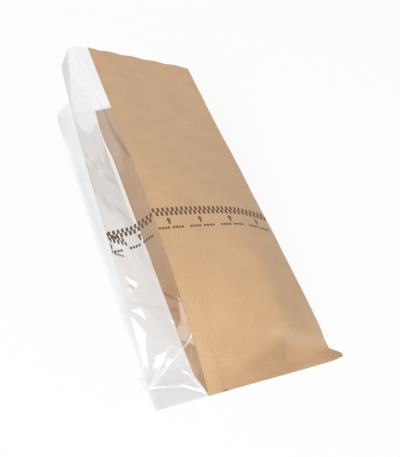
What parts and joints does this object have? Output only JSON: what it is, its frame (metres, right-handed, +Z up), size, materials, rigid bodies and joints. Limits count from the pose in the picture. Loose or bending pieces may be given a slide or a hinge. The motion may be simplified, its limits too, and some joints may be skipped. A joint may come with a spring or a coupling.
{
  "type": "paper snack bag",
  "caption": "Kraft paper snack bag with a clear film side, side gussets and a folded, glued bottom, lying on its back with the mouth half open.",
  "frame": {"origin": "under the middle of the bag's box, on the surface that it lies on", "axes": "+Y from the bottom fold to the open mouth, +Z up from the back panel to the front panel, +X to the right with the film side at -X"},
  "size_m": [0.1258, 0.3016, 0.0649],
  "materials": {
    "kraft_paper": "ribbed brown kraft paper, matt with a faint sheen",
    "clear_film": "clear glossy film",
    "print_ink": "matt dark brown printing ink"
  },
  "bodies": {
    "root": {"kraft_sheet": "kraft_paper", "window_film": "clear_film"}
  },
  "joints": []
}
